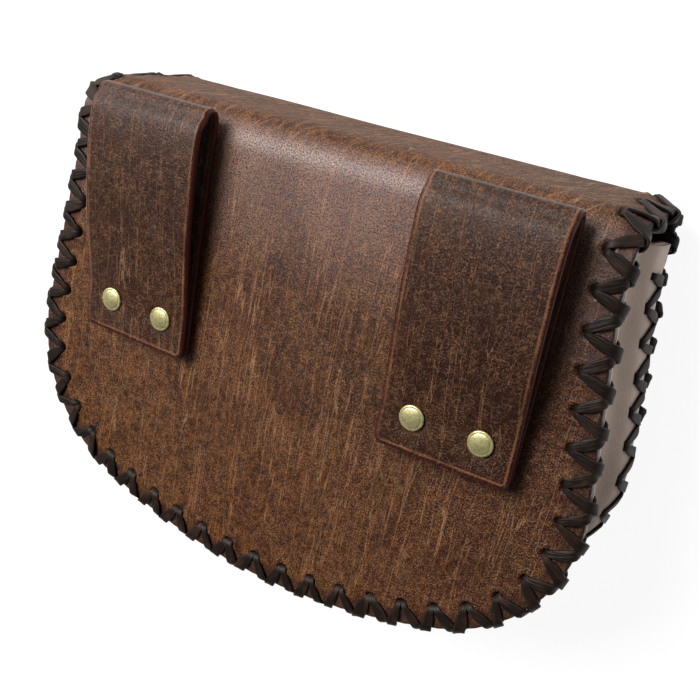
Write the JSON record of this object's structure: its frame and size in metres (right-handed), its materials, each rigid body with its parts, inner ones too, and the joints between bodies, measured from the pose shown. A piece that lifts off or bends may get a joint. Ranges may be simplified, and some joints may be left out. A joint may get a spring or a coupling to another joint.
{
  "type": "medieval belt pouch",
  "caption": "D-shaped brown leather belt pouch with laced edges, a closed front flap and two riveted belt loops on its back.",
  "frame": {"origin": "centre of the footprint on the surface that the pouch's front lies on", "axes": "+X across the pouch to the wearer's left loop as seen from the back, +Y towards the pouch's top, +Z from the front flap to the back panel and the belt loops"},
  "size_m": [0.2358, 0.1754, 0.0781],
  "materials": {
    "body_leather": "distressed brown leather, satin",
    "loop_leather": "distressed dark brown leather, satin, polished edges",
    "gusset_leather": "smooth taupe leather, matt",
    "lace": "near-black brown flat lace, satin",
    "brass": "antique brass, mottled, satin"
  },
  "bodies": {
    "root": {"body_wrap": "body_leather", "front_panel": "body_leather", "gusset": "gusset_leather", "belt_loop_left": "loop_leather", "belt_loop_right": "loop_leather", "lacing_back": "lace", "lacing_front": "lace", "lacing_flap": "lace", "rivet_left_inner": "brass", "rivet_left_outer": "brass", "rivet_right_inner": "brass", "rivet_right_outer": "brass", "press_stud": "brass"}
  },
  "joints": []
}
